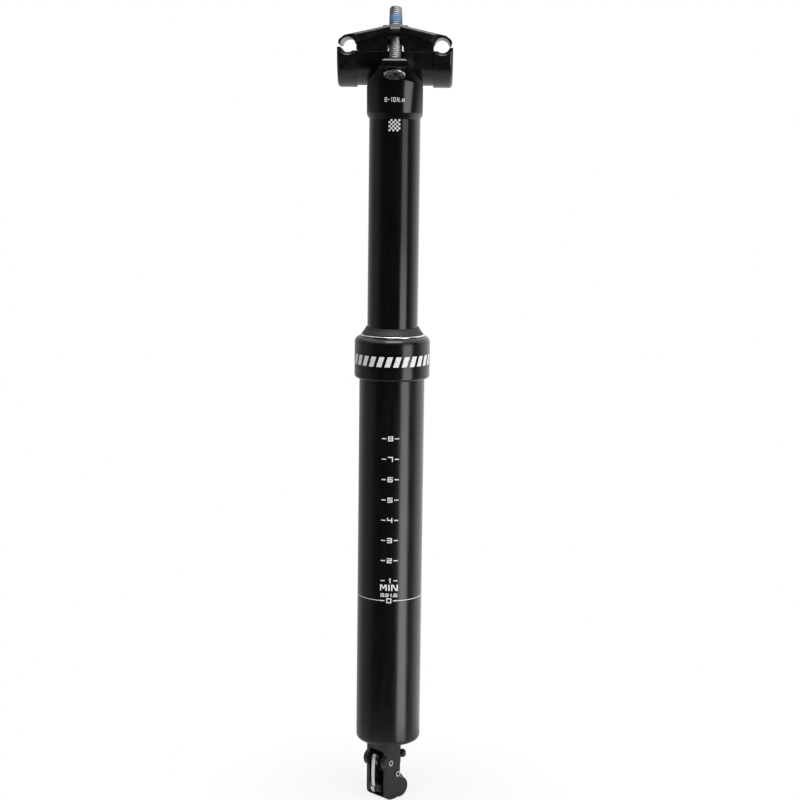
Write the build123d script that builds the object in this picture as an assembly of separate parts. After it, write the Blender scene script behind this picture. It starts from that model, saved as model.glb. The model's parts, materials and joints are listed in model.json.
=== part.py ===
from build123d import *
import os
from math import cos, radians, sin, sqrt, tan

# A dropper seatpost, fully extended. Millimetres. The origin is on the post's axis at the
# collar's underside, +Z points up to the saddle, X runs across the saddle rails and -Y is
# the front, where the insertion scale is printed.

# Whole post
insertion_length = 212.0
travel = 98.0
foot_length = 30.0
cut_overrun = 3.0
running_gap = 0.05
thread_gap = 0.06
seat_gap = 0.02

# Outer tube
tube_diameter = 31.6
tube_wall = 1.8
tube_floor = 6.0
tube_end_round = 2.4
neck_length = 11.0
neck_cut = 0.7

# Collar
collar_band = 2.45
collar_height = 20.4
collar_top_round = 3.0
collar_foot_round = 1.6
collar_mouth = 0.2
collar_groove_low = 6.1
collar_groove_high = 13.2
collar_groove_width = 0.45
collar_groove_depth = 0.3
collar_lip = 1.6
oring_wire = 1.5
oring_rise = 2.0

# Upper bushing, wiper seal and its ring
bushing_length = 9.0
bushing_flange = 1.2
wiper_inset = 1.1
wiper_root = 4.5
wiper_stand = 4.3
wiper_skirt = 1.3
wiper_lip = 1.1
ring_wire = 0.9

# Stanchion tube
bushing_wall = 1.8
stanchion_wall = 2.0
bottom_room = 2.0
head_gap = 1.3
plug_length = 9.0

# Lower bushing and guide keys
lower_bushing_length = 14.0
lower_bushing_seat = 0.5
key_count = 3
key_radius = 1.7
key_length = 12.0
key_space = 2.0
key_travel_spare = 3.0

# Saddle rails and the tilting clamp
rail_diameter = 7.0
rail_spacing = 44.0
rail_sink = 2.7
clamp_shoulder = 5.0
barrel_radius = 18.3
flange_width = 9.0
flange_rise = 0.9
flange_round = 1.6
flange_wall_drop = 1.1
groove_mouth = 1.5
cradle_edge = 0.7
cradle_hollow_radius = 9.0
cradle_hollow_drop = 1.0

# Seat head forging
head_ledge = 1.0
head_web = 15.7
head_flare_height = 3.0
head_flare = 1.9
head_shoulder = 15.0
lug_top = 6.3
lug_crown = 5.4
lug_waist = 8.2
lug_waist_drop = 5.6
lug_hip_drop = 8.6
lug_hip = 10.9
lug_wall = 9.9
lug_crown_share = 0.52
lug_toe_share = 0.3
head_neck_flare = 4.0
lug_edge_round = 0.8

# Clamp bolts, washers and barrel nuts
bolt_lean = 25.0
bolt_inset = 2.8
bolt_radius = 2.95
bolt_stand = 13.7
bolt_proud = 1.0
bolt_tip_round = 1.2
bolt_head_radius = 5.0
bolt_head_height = 4.0
bolt_head_round = 0.5
bolt_socket = 5.0
bolt_socket_depth = 2.4
washer_thickness = 1.9
washer_radius = 5.6
washer_clear = 1.2
seat_sphere = 12.0
pocket_radius = 6.0
bolt_slot_width = 7.4
bolt_slot_length = 8.4
notch_width = 8.4
notch_depth = 5.9
nut_height = 5.2
nut_radius = 4.0
nut_length = 12.0
nut_chamfer = 0.5
nut_thread_gap = 0.36
nut_slot = 1.4
nut_slot_depth = 0.9

# Yoke
yoke_peak = 9.6
yoke_corner = 4.3
yoke_corner_inset = 2.8
yoke_corner_round = 2.2
yoke_shoulder = 2.2
yoke_edge_round = 1.4
yoke_ear_gap = 0.4
yoke_side_trim = 0.6
yoke_overhang = 1.4
yoke_arch_peak = 5.2
yoke_arch_foot = 1.0
yoke_arch_flat = 5.2
yoke_web_inset = 0.3
yoke_web_gap = 0.5
yoke_window_width = 4.4
yoke_window_height = 3.2
yoke_window_rise = 5.4
yoke_tunnel_radius = 3.9
yoke_tunnel_drop = 1.0
yoke_slot_spare = 0.3
yoke_slot_spread = 10.8
yoke_pocket_inset = 1.0
yoke_pocket_along = 17.0
yoke_pocket_floor = 3.2
yoke_pocket_wall = 2.5

# Gas cartridge inside the stanchion
cartridge_wall = 1.7
cartridge_recess = 2.0
gland_length = 9.0
cap_length = 10.0
cap_rim = 1.0
cap_recess = 3.4
seal_wire = 1.6
floating_length = 8.0
gas_room = 37.0
bumper_length = 3.0
bumper_wall = 2.6

# Cartridge rod, main piston and valve
rod_diameter = 8.0
rod_bore = 3.4
rod_foot = 7.0
rod_foot_length = 3.0
rod_flange = 1.8
piston_length = 6.0
piston_gap = 0.5
piston_rise = 1.2
nut_across = 12.0
rod_nut_height = 3.2
rod_nut_sink = 0.3
valve_diameter = 3.2
valve_top_gap = 2.0
valve_lift = 1.6
valve_end_round = 0.6

# Actuator at the foot, seen from its open side; across is along the pivot pin
foot_turn = -45.0
body_across = 15.0
body_back = 1.9
body_open = 7.5
cheek_wall = 2.5
back_wall = 2.0
block_height = 5.0
hub_radius = 6.6
hub_wall = 2.0
hub_height = 13.0
foot_round = 3.4
foot_floor = 1.6
foot_edge_round = 0.6
boss_radius = 4.3
pivot_open = 5.2
pivot_drop = 10.6
pin_diameter = 3.0
pin_bore = 1.5
pin_stand = 0.4
stop_open = 0.1
stop_drop = 17.3
lobe_reach = 7.4
lobe_radius = 4.6
flank_radius = 5.1
flank_inset = 0.2
lobe_rise = 5.2
lobe_round = 1.1
ferrule_radius = 3.1
ferrule_bore = 2.55
ferrule_depth = 6.0
ferrule_flange = 0.6
ferrule_flange_length = 1.2
cable_hole = 1.0

# Lever
lever_plate = 2.2
lever_offset = -0.6
lever_width = 4.0
lever_open = 6.9
lever_top = 1.5
lever_bow = 0.5
lever_hub_radius = 3.2
lever_hub_gap = 0.3
nose_radius = 1.7
nose_width = 3.6
cable_barrel_radius = 1.9
cable_barrel_wall = 0.8
cable_barrel_length = 7.6
cable_barrel_reach = 3.0
barrel_screw_radius = 1.2
barrel_screw_length = 2.4
barrel_screw_hex = 1.3
barrel_screw_bore = 1.0
spring_wire = 0.7
spring_turns = 2
spring_gap = 0.35
spring_pitch_gap = 0.15

# Fixing screw at the back of the foot
fixing_radius = 2.1
fixing_length = 2.6
fixing_drop = 8.3
fixing_shank_radius = 1.4
fixing_round = 1.6

# Worked out from the sizes above
tube_radius = tube_diameter / 2
tube_bore = tube_radius - tube_wall
neck_radius = tube_radius - neck_cut
collar_radius = tube_radius + collar_band
wiper_radius = tube_radius - wiper_inset
stanchion_radius = tube_bore - bushing_wall
head_neck = stanchion_radius + head_neck_flare
head_width = (stanchion_radius + head_ledge) * 2
stanchion_bore = stanchion_radius - stanchion_wall
wiper_top = collar_height + wiper_stand
head_low = wiper_top + travel + head_gap
rail_height = head_low + head_web + barrel_radius
post_length = insertion_length + rail_height
tube_length = insertion_length - foot_length
stanchion_overlap = tube_length - tube_floor - travel - bottom_room
cradle_top = rail_height - rail_sink
clamp_width = rail_spacing + clamp_shoulder + clamp_shoulder
yoke_half = clamp_width / 2 - yoke_side_trim
yoke_depth = (barrel_radius + yoke_overhang) * 2
yoke_web_depth = (barrel_radius - yoke_web_inset) * 2
yoke_corner_across = yoke_half - yoke_corner_inset
flange_start = clamp_width / 2 - flange_width
yoke_arch_half = flange_start + yoke_side_trim
lug_front = barrel_radius + lug_wall
bolt_reach = barrel_radius - bolt_inset
lean = radians(bolt_lean)
lean_slope = tan(lean)
washer_side = bolt_reach * cos(lean) - washer_radius
washer_dome = seat_sphere - sqrt(seat_sphere ** 2 - washer_radius ** 2)
washer_depth = sqrt((barrel_radius + washer_clear) ** 2 - washer_side ** 2) - washer_dome
grip = bolt_head_height + washer_thickness
bolt_face_depth = washer_depth + grip - bolt_reach * sin(lean)
bolt_face_height = rail_height - bolt_face_depth * cos(lean)
lug_low = bolt_face_height + bolt_proud * cos(lean)
nut_center_height = rail_height + nut_height
nut_along = (nut_center_height - bolt_face_height) / cos(lean)
bolt_length = nut_along - bolt_head_height + bolt_stand
cartridge_radius = stanchion_bore - seat_gap
cartridge_low = stanchion_overlap - cartridge_recess
cartridge_bore_radius = cartridge_radius - cartridge_wall
cartridge_high = head_low - plug_length - cap_rim
floating_height = cartridge_high - cap_length - gas_room - floating_length
rod_radius = rod_diameter / 2
gland_top = gland_length - cartridge_low
piston_low = gland_top + bumper_length + piston_gap
rod_top = piston_low + piston_length + piston_rise
floor_top = tube_floor - tube_length
rod_nut_low = rod_nut_sink - tube_length
rod_foot_low = -tube_length - rod_foot_length
pivot_height = -tube_length - pivot_drop
stop_height = -tube_length - stop_drop
cable_height = -insertion_length + lobe_rise
key_center_radius = (stanchion_radius + tube_bore) / 2
key_low = -stanchion_overlap + lower_bushing_length + key_space


def bolt_depth(height):
    """How far in front of the axis the front bolt's axis lies at a height."""
    return bolt_reach + (rail_height - height) * lean_slope


def rod(radius, low, high):
    """A round bar about Z from one height to another."""
    return Pos(0, 0, low) * Cylinder(radius, high - low, align=(Align.CENTER, Align.CENTER, Align.MIN))


def ring(outer, inner, low, high):
    """A round sleeve about Z."""
    return rod(outer, low, high) - rod(inner, low - cut_overrun, high + cut_overrun)


def turned(points):
    """A solid turned about Z from (radius, height) points."""
    outline = Polyline([(radius, 0, height) for radius, height in points], close=True)
    return revolve(make_face(outline), Axis.Z)


def across_bar(radius, half, depth, height):
    """A round bar along X, centred on X = 0."""
    return Pos(0, depth, height) * Rot(0, 90, 0) * Cylinder(radius, half + half)


def rear_copy(solid):
    """The same piece turned half round, at the back of the post."""
    return Rot(0, 0, 180) * solid


def block(low, high):
    """A box from its lowest to its highest corner."""
    sizes = [b - a for a, b in zip(low, high)]
    return Pos(*low) * Box(*sizes, align=(Align.MIN, Align.MIN, Align.MIN))


def key_places():
    """The turns about Z at which the guide keys stand."""
    return [Rot(0, 0, 360 * index / key_count + 90) for index in range(key_count)]


def make_outer_tube():
    """The tube with its closed floor, reduced neck and key grooves."""
    body = rod(tube_radius, -tube_length, 0)
    body = fillet(body.edges().group_by(Axis.Z)[0], tube_end_round)
    body += rod(neck_radius, 0, neck_length)
    body -= rod(tube_bore, floor_top, neck_length + cut_overrun)
    body -= rod(rod_foot / 2 + seat_gap, -tube_length - cut_overrun, floor_top + cut_overrun)
    body -= rod(nut_across / sqrt(3) + running_gap, -tube_length - cut_overrun, rod_nut_low + rod_nut_height)
    groove_low = key_low - travel - key_travel_spare
    groove_high = key_low + key_length + key_travel_spare
    groove = Pos(key_center_radius, 0, 0) * rod(key_radius + running_gap, groove_low, groove_high)
    for turn in key_places():
        body -= turn * groove
    return body


def make_collar():
    """The smooth cap nut on the neck, with two fine grooves round its band."""
    body = rod(collar_radius, 0, collar_height)
    body = fillet(body.edges().group_by(Axis.Z)[-1], collar_top_round)
    body = fillet(body.edges().group_by(Axis.Z)[0], collar_foot_round)
    groove_floor = collar_radius - collar_groove_depth
    for height in (collar_groove_low, collar_groove_high):
        low = height - collar_groove_width / 2
        body -= ring(collar_radius + cut_overrun, groove_floor, low, low + collar_groove_width)
    seat_radius = wiper_radius + seat_gap
    body -= rod(neck_radius + thread_gap, -cut_overrun, neck_length + seat_gap)
    body -= rod(stanchion_radius + collar_lip, -cut_overrun, collar_height + cut_overrun)
    body -= rod(seat_radius, collar_height - wiper_root, collar_height + cut_overrun)
    body -= rod(neck_radius + oring_wire, oring_rise, oring_rise + oring_wire)
    mouth_radius = tube_radius + collar_mouth
    mouth_height = mouth_radius - neck_radius
    body -= turned([(0, 0), (mouth_radius, 0), (neck_radius, mouth_height), (0, mouth_height)])
    return body


def make_collar_oring():
    """The seal between the collar and the neck."""
    center = neck_radius + oring_wire / 2
    height = oring_rise + oring_wire / 2
    section = Pos(center, 0, height) * Rot(90, 0, 0) * Circle(oring_wire / 2 - seat_gap)
    return revolve(section, Axis.Z)


def make_upper_bushing():
    """A flanged split bush that guides the stanchion inside the neck."""
    low = neck_length - bushing_length
    bush = ring(tube_bore - seat_gap, stanchion_radius + running_gap, low, neck_length)
    slit = block((0, -bushing_flange / 2, low - cut_overrun),
                 (tube_radius, bushing_flange / 2, neck_length + cut_overrun))
    return bush - slit


def make_wiper_seal():
    """The rubber seal, seated in the collar, with a cone that wipes the stanchion."""
    bore = stanchion_radius + running_gap
    outer = wiper_radius
    low = collar_height - wiper_root + seat_gap
    shoulder = collar_height + wiper_skirt
    return turned([
        (bore, low),
        (outer, low),
        (outer, shoulder),
        (bore + wiper_lip, wiper_top - wiper_lip),
        (bore + wiper_lip / 2, wiper_top),
        (bore, wiper_top),
    ])


def make_wiper_ring():
    """The bright wire ring round the seal, on top of the collar."""
    center = wiper_radius + ring_wire / 2 + seat_gap
    section = Pos(center, 0, collar_height + ring_wire / 2) * Rot(90, 0, 0) * Circle(ring_wire / 2)
    return revolve(section, Axis.Z)


def lug_underside(depth):
    """How high the lug's underside, square to the bolt, lies at a distance in front of the axis."""
    return lug_low + (depth - bolt_depth(lug_low)) * lean_slope


def head_side_face():
    """The two lugs' outline seen from the side, front half mirrored to the back."""
    front = [
        (0, lug_underside(0)),
        (lug_front, lug_underside(lug_front)),
        (lug_front, rail_height - lug_top),
        (0, rail_height - lug_top),
    ]
    half = make_face(Polyline([(0, -depth, height) for depth, height in front], close=True))
    low, high = half.vertices().group_by(Axis.Y)[0].sort_by(Axis.Z)
    face_height = high.Z - low.Z
    rounded = fillet(high, face_height * lug_crown_share)
    low = rounded.vertices().group_by(Axis.Y)[0].sort_by(Axis.Z)[0]
    rounded = fillet(low, face_height * lug_toe_share)
    return rounded + mirror(rounded, Plane.XZ)


def head_front_face():
    """The forging's outline seen from the front: tube, shoulders and arched lug."""
    half_width = head_width / 2
    crown = rail_height - lug_top
    with BuildSketch(Plane.XZ) as sketch:
        with BuildLine():
            foot = Line((0, head_low - plug_length), (half_width, head_low - plug_length))
            side = Line(foot @ 1, (half_width, head_low + head_shoulder - lug_edge_round))
            arch = Spline(
                side @ 1,
                (lug_hip, crown - lug_hip_drop),
                (lug_waist, crown - lug_waist_drop),
                (lug_crown, crown - lug_edge_round),
                (0, crown),
                tangents=[(0, 1), (-1, 0)],
            )
            Line(arch @ 1, foot @ 0)
        make_face()
    right = sketch.sketch
    return right + mirror(right, Plane.YZ)


def make_head_column():
    """The round column that leads from the tube up into the lugs."""
    return turned([
        (0, head_low - plug_length),
        (stanchion_radius, head_low - plug_length),
        (stanchion_radius, head_low),
        (stanchion_radius + head_flare, head_low + head_flare_height),
        (head_neck, lug_underside(head_neck)),
        (0, lug_underside(head_neck)),
    ])


def bolt_line(along):
    """Moves a piece from Z onto the front bolt's axis, its head face at zero."""
    depth = -bolt_depth(bolt_face_height)
    return Pos(0, depth, bolt_face_height) * Rot(-bolt_lean, 0, 0) * Pos(0, 0, along)


def domed(radius, low, ball):
    """A round bar about Z whose top is a cap of the ball that the bolt's head rocks on."""
    center = grip - seat_sphere
    rim = center + sqrt(ball ** 2 - radius ** 2)
    middle = center + sqrt(ball ** 2 - radius ** 2 / 4)
    sides = Polyline((0, 0, center + ball), (0, 0, low), (radius, 0, low), (radius, 0, rim))
    cap = ThreePointArc((radius, 0, rim), (radius / 2, 0, middle), (0, 0, center + ball))
    return revolve(make_face([sides, cap]), Axis.Z)


def make_stanchion():
    """The sliding tube and its seat head in one forging, with a lug at each end."""
    tube = ring(stanchion_radius, stanchion_bore, -stanchion_overlap, head_low - plug_length)
    side = extrude(head_side_face(), head_width, both=True, dir=(1, 0, 0))
    front = extrude(head_front_face(), lug_front + lug_front, both=True, dir=(0, 1, 0))
    head = (side + make_head_column()) & front
    head -= across_bar(barrel_radius + running_gap, head_width, 0, rail_height)
    pocket = domed(pocket_radius, -lug_front, seat_sphere)
    slot_outline = SlotCenterToCenter(bolt_slot_length - bolt_slot_width, bolt_slot_width, rotation=90)
    slot = extrude(slot_outline, post_length)
    opening = bolt_line(0) * (pocket + slot)
    head -= opening
    head -= rear_copy(opening)
    body = tube + head
    for turn in key_places():
        key_pocket = rod(key_radius + seat_gap, key_low, key_low + key_length)
        body -= turn * Pos(key_center_radius, 0, 0) * key_pocket
    seat = stanchion_radius - lower_bushing_seat
    bush_low = -stanchion_overlap - cut_overrun
    bush_high = -stanchion_overlap + lower_bushing_length + seat_gap
    body -= ring(tube_radius, seat, bush_low, bush_high)
    return body


def make_lower_bushing():
    """The bush snapped round the stanchion's lower end, running in the tube."""
    inner = stanchion_radius - lower_bushing_seat + seat_gap
    low = -stanchion_overlap + running_gap
    bush = ring(tube_bore - running_gap, inner, low, low + lower_bushing_length - running_gap)
    slit = block((0, -bushing_flange / 2, low - cut_overrun),
                 (tube_radius, bushing_flange / 2, low + lower_bushing_length + cut_overrun))
    return bush - slit


def make_guide_keys():
    """Three round brass keys, half in the stanchion and half in the tube's grooves."""
    key = Pos(key_center_radius, 0, 0) * rod(key_radius, key_low + seat_gap, key_low + key_length - seat_gap)
    return Compound([turn * key for turn in key_places()])


def make_cradle():
    """The half barrel that tilts in the head, with rail grooves across its ends."""
    half = clamp_width / 2
    body = across_bar(barrel_radius, half, 0, rail_height)
    for side in (-1, 1):
        center = side * (half - flange_width / 2)
        disc = Rot(0, 90, 0) * Cylinder(barrel_radius + flange_rise, flange_width)
        body += Pos(center, 0, rail_height) * disc
    tall = barrel_radius + flange_rise + cut_overrun
    body -= block((-half - cut_overrun, -tall, cradle_top), (half + cut_overrun, tall, rail_height + tall))
    wall_top = rail_height - flange_wall_drop
    for side in (-1, 1):
        inner = side * rail_spacing / 2
        outer = side * half
        low_x = min(inner, outer)
        high_x = max(inner, outer)
        wall_depth = sqrt((barrel_radius + flange_rise) ** 2 - rail_sink ** 2)
        body += block((low_x, -wall_depth, cradle_top - rail_sink), (high_x, wall_depth, wall_top))
    soft_bar = across_bar(barrel_radius + flange_rise, half, 0, rail_height)
    body &= fillet(soft_bar.edges().filter_by(GeomType.CIRCLE), flange_round)
    edge_depth = sqrt(barrel_radius ** 2 - rail_sink ** 2)
    edge_side = cradle_edge * sqrt(2)
    edge = Rot(45, 0, 0) * Box(flange_start * 2, edge_side, edge_side)
    for side in (-1, 1):
        body -= rail_cutter(side)
        body -= Pos(0, side * edge_depth, cradle_top) * edge
    hollow_height = cradle_top + cradle_hollow_drop
    body -= across_bar(cradle_hollow_radius, flange_start - flange_width / 2, 0, hollow_height)
    notch = block((-notch_width / 2, -tall * 2, -tall * 2), (notch_width / 2, notch_depth, post_length))
    opening = bolt_line(0) * notch
    body -= opening
    body -= rear_copy(opening)
    return body


def rail_cutter(side):
    """The space of one saddle rail, widened to a soft mouth at the clamp's front and back."""
    rail_radius = rail_diameter / 2
    reach = barrel_radius + flange_rise
    bar = Rot(90, 0, 0) * Cylinder(rail_radius, reach * 2 + cut_overrun)
    for end in (-1, 1):
        mouth_depth = sqrt(reach ** 2 - (rail_sink + groove_mouth) ** 2)
        cone = Cone(rail_radius, rail_radius + groove_mouth * 2, groove_mouth * 2)
        bar += Rot(0, 0, 90 + 90 * end) * Pos(0, -mouth_depth, 0) * Rot(90, 0, 0) * cone
    return Pos(side * rail_spacing / 2, 0, rail_height) * bar


def yoke_front_face():
    """The yoke's outline seen from the front, with its gull-wing lower edge."""
    ear = rail_height + yoke_ear_gap
    points = [
        (0, rail_height + yoke_peak),
        (yoke_corner_across, rail_height + yoke_corner),
        (yoke_half, rail_height + yoke_shoulder),
        (yoke_half, ear),
        (yoke_arch_half, ear),
        (yoke_arch_half - yoke_side_trim, rail_height + yoke_arch_foot),
        (yoke_arch_flat, rail_height + yoke_arch_peak),
        (0, rail_height + yoke_arch_peak),
    ]
    face = make_face(Polyline([(x, 0, z) for x, z in points], close=True))
    outer = [v for v in face.vertices() if v.X > yoke_corner_across - running_gap]
    corners = [v for v in outer if v.Z > ear + running_gap]
    face = fillet(corners, yoke_corner_round)
    return face + mirror(face, Plane.YZ)


def make_yoke():
    """The upper clamp: a chevron beam over a central web, seating two barrel nuts."""
    beam = extrude(yoke_front_face(), yoke_depth / 2, both=True, dir=(0, 1, 0))
    rims = beam.faces().group_by(Axis.Y)[0].edges() + beam.faces().group_by(Axis.Y)[-1].edges()
    roof = [edge for edge in rims if edge.center().Z > rail_height + yoke_arch_peak + running_gap]
    ends = [edge for edge in rims if abs(edge.center().X) > yoke_corner_across - yoke_side_trim]
    beam = fillet(roof + ends, yoke_edge_round)
    web_low = cradle_top + yoke_web_gap
    web = block((-flange_start, -yoke_web_depth / 2, web_low),
                (flange_start, yoke_web_depth / 2, rail_height + yoke_arch_peak))
    body = beam + web
    for side in (-1, 1):
        body -= rail_cutter(side)
        body -= yoke_pocket(side)
    tunnel_height = cradle_top + yoke_tunnel_drop
    body -= Pos(0, 0, tunnel_height) * Rot(90, 0, 0) * Cylinder(yoke_tunnel_radius, yoke_depth + cut_overrun)
    seat = nut_seat()
    body -= seat
    body -= rear_copy(seat)
    return body


def yoke_pocket(side):
    """A lightening pocket in the yoke's top, between the nuts and the ear."""
    start = side * (nut_length / 2 + yoke_pocket_wall)
    stop = side * (flange_start + yoke_pocket_inset)
    low = min(start, stop)
    high = max(start, stop)
    floor = rail_height + yoke_pocket_floor
    top = rail_height + yoke_peak + cut_overrun
    return block((low, -yoke_pocket_along / 2, floor), (high, yoke_pocket_along / 2, top))


def nut_seat():
    """Room in the yoke for the front nut, its bolt and the window in front of it."""
    depth = -bolt_depth(nut_center_height)
    half = nut_length / 2 + running_gap
    room = across_bar(nut_radius + running_gap, half, depth, nut_center_height)
    lift = block((-half, depth - nut_radius - running_gap, nut_center_height),
                 (half, depth + nut_radius + running_gap, rail_height + yoke_peak + cut_overrun))
    wide = bolt_radius + yoke_slot_spare
    foot = wide + nut_along * tan(radians(yoke_slot_spread))
    high = nut_along + nut_along
    fan = Polyline([
        (0, -foot, 0),
        (0, foot, 0),
        (0, wide, nut_along),
        (0, foot, high),
        (0, -foot, high),
        (0, -wide, nut_along),
    ], close=True)
    slot = extrude(make_face(fan), wide, both=True, dir=(1, 0, 0))
    window = block((-yoke_window_width / 2, -yoke_depth, rail_height + yoke_window_rise),
                   (yoke_window_width / 2, depth, rail_height + yoke_window_rise + yoke_window_height))
    return room + lift + bolt_line(0) * slot + window


def make_barrel_nut():
    """The front cross nut, bored for the bolt and slotted at its ends."""
    depth = -bolt_depth(nut_center_height)
    bar = across_bar(nut_radius, nut_length / 2, depth, nut_center_height)
    bar = chamfer(bar.edges().filter_by(GeomType.CIRCLE), nut_chamfer)
    bar -= bolt_line(0) * rod(bolt_radius + nut_thread_gap, 0, post_length)
    for side in (-1, 1):
        end = side * nut_length / 2
        cut = Box(nut_slot_depth * 2, nut_radius * 3, nut_slot)
        bar -= Pos(end, depth, nut_center_height) * cut
    return bar


def make_bolt():
    """The front M6 bolt: low round head with a hex socket, and a rounded tip."""
    head = rod(bolt_head_radius, 0, bolt_head_height)
    head = fillet(head.edges().group_by(Axis.Z)[0], bolt_head_round)
    shank = rod(bolt_radius, bolt_head_height, bolt_head_height + bolt_length)
    shank = fillet(shank.edges().group_by(Axis.Z)[-1], bolt_tip_round)
    socket = extrude(RegularPolygon(bolt_socket / 2, 6, major_radius=False), bolt_socket_depth)
    return bolt_line(0) * (head + shank - socket)


def make_washer():
    """The domed washer on which the bolt's head rocks in the lug."""
    bore = bolt_radius + thread_gap * 2
    disc = domed(washer_radius, bolt_head_height + seat_gap, seat_sphere - seat_gap)
    return bolt_line(0) * (disc - rod(bore, 0, grip + grip))


def make_cartridge_body():
    """The gas spring's tube, closed by the gland below and the cap above."""
    return ring(cartridge_radius, cartridge_bore_radius, -cartridge_low, cartridge_high)


def make_cartridge_gland():
    """The gland that guides the rod, with a groove for the rod seal."""
    low = -cartridge_low
    gland = ring(cartridge_bore_radius - seat_gap, rod_radius + running_gap, low, gland_top)
    groove_low = low + (gland_length - seal_wire) / 2
    return gland - ring(rod_radius + seal_wire, rod_radius - seal_wire, groove_low, groove_low + seal_wire)


def make_rod_seal():
    """The square ring that seals the rod in its gland."""
    low = -cartridge_low + (gland_length - seal_wire) / 2
    outer = rod_radius + seal_wire - seat_gap
    return ring(outer, rod_radius + running_gap, low + seat_gap, low + seal_wire - seat_gap)


def make_cartridge_cap():
    """The threaded plug with the air valve's recess at the top of the cartridge."""
    low = cartridge_high - cap_length
    cap = rod(cartridge_bore_radius - seat_gap, low, cartridge_high)
    cap += rod(cartridge_radius, cartridge_high, cartridge_high + cap_rim)
    return cap - rod(cap_recess, low + cap_length / 2, cartridge_high + cap_length)


def make_floating_piston():
    """The piston that parts the gas from the oil, waisted for its seal."""
    high = floating_height + floating_length
    body = rod(cartridge_bore_radius - running_gap, floating_height, high)
    middle = floating_height + (floating_length - seal_wire) / 2
    return body - ring(cartridge_radius, cartridge_bore_radius - seal_wire, middle, middle + seal_wire)


def make_floating_seal():
    """The ring in the floating piston's groove."""
    low = floating_height + (floating_length - seal_wire) / 2
    inner = cartridge_bore_radius - seal_wire + seat_gap
    return ring(cartridge_bore_radius - running_gap, inner, low + seat_gap, low + seal_wire - seat_gap)


def make_cartridge_rod():
    """The hollow rod from the tube's floor to the main piston, flanged above the floor."""
    body = rod(rod_radius, floor_top, rod_top)
    body += rod(rod_foot / 2, rod_foot_low, floor_top)
    body += rod(nut_across / 2, floor_top + seat_gap, floor_top + rod_flange)
    return body - rod(rod_bore / 2, rod_foot_low - cut_overrun, rod_top - valve_top_gap)


def make_rod_nut():
    """The hex nut under the tube's floor."""
    hexagon = RegularPolygon(nut_across / 2, 6, major_radius=False)
    plate = Pos(0, 0, rod_nut_low) * extrude(hexagon, rod_nut_height - seat_gap)
    return plate - rod(rod_foot / 2 + seat_gap, rod_nut_low - cut_overrun, cut_overrun)


def make_main_piston():
    """The piston on the rod, grooved for its seal."""
    outer = cartridge_bore_radius - running_gap
    body = ring(outer, rod_radius + seat_gap, piston_low, piston_low + piston_length)
    low = piston_low + (piston_length - seal_wire) / 2
    return body - ring(cartridge_radius, cartridge_bore_radius - seal_wire, low, low + seal_wire)


def make_piston_seal():
    """The ring in the main piston's groove."""
    low = piston_low + (piston_length - seal_wire) / 2
    inner = cartridge_bore_radius - seal_wire + seat_gap
    return ring(cartridge_bore_radius - running_gap, inner, low + seat_gap, low + seal_wire - seat_gap)


def make_topout_bumper():
    """The rubber ring on the gland that the piston meets at full height."""
    inner = rod_radius + running_gap
    return ring(inner + bumper_wall, inner, gland_top + seat_gap, gland_top + bumper_length)


def make_valve_pin():
    """The pin in the rod's bore that the lever lifts to unlock the post."""
    low = pivot_height + nose_radius + running_gap
    body = rod(valve_diameter / 2, low, rod_top - valve_top_gap - valve_lift)
    return fillet(body.edges().group_by(Axis.Z)[0], valve_end_round)


def at_foot(solid):
    """Turns a piece made with its open side to the front into the foot's place."""
    return Rot(0, 0, foot_turn) * solid


def pin_place(open_side, height):
    """Lays a bar across the foot at a distance towards its open side."""
    return Pos(0, -open_side, height) * Rot(0, 90, 0)


def make_actuator_body():
    """The channel under the tube: block, two cheeks with pivot bosses, back wall and housing stop."""
    half = body_across / 2
    low = -insertion_length
    body = block((-half, -body_open, low), (half, body_back, -tube_length))
    cheeks = body.edges().filter_by(Axis.X).group_by(Axis.Z)[0]
    body = fillet(cheeks, foot_round)
    body = fillet(body.edges().filter_by(Axis.Z).group_by(Axis.Y)[0], foot_edge_round)
    body += pin_place(pivot_open, pivot_height) * Cylinder(boss_radius, body_across)
    body += rod(hub_radius, -tube_length - hub_height, -tube_length)
    lobe = Cylinder(lobe_radius, lobe_reach - body_back, align=(Align.CENTER, Align.CENTER, Align.MIN))
    lobe = fillet(lobe.edges().group_by(Axis.Z)[-1], lobe_round)
    lobe = Pos(0, body_back, cable_height) * Rot(-90, 0, 0) * lobe
    flank = Cylinder(flank_radius, half, align=(Align.CENTER, Align.CENTER, Align.MIN))
    flank = fillet(flank.edges().group_by(Axis.Z)[-1], foot_edge_round)
    flank_center = lobe_reach - flank_inset - flank_radius
    body += lobe + Pos(0, flank_center, cable_height) * Rot(0, 90, 0) * flank
    inside = half - cheek_wall
    room_back = body_back - back_wall
    room_top = -tube_length - block_height
    room = block((-inside, -body_open * 2, low + foot_floor), (inside, room_back, room_top))
    body -= room
    body -= rod(hub_radius - hub_wall, -tube_length - hub_height - cut_overrun, -tube_length - block_height)
    body -= rod(rod_foot / 2 + running_gap, -tube_length - block_height - cut_overrun, cut_overrun)
    pins = Cylinder(pin_diameter / 2 + seat_gap, body_across + cut_overrun)
    body -= pin_place(pivot_open, pivot_height) * pins
    body -= pin_place(stop_open, stop_height) * pins
    socket = Pos(0, lobe_reach - ferrule_depth, cable_height) * Rot(-90, 0, 0) * Cylinder(
        ferrule_radius + seat_gap, ferrule_depth + cut_overrun, align=(Align.CENTER, Align.CENTER, Align.MIN))
    cable = Pos(0, 0, cable_height) * Rot(-90, 0, 0) * Cylinder(cable_hole, lobe_reach * 2)
    body -= socket + cable
    screw_hole = rod(fixing_shank_radius + seat_gap, 0, hub_radius * 2)
    return at_foot(body) - Pos(0, 0, -tube_length - fixing_drop) * Rot(0, 90, 0) * screw_hole


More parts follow.
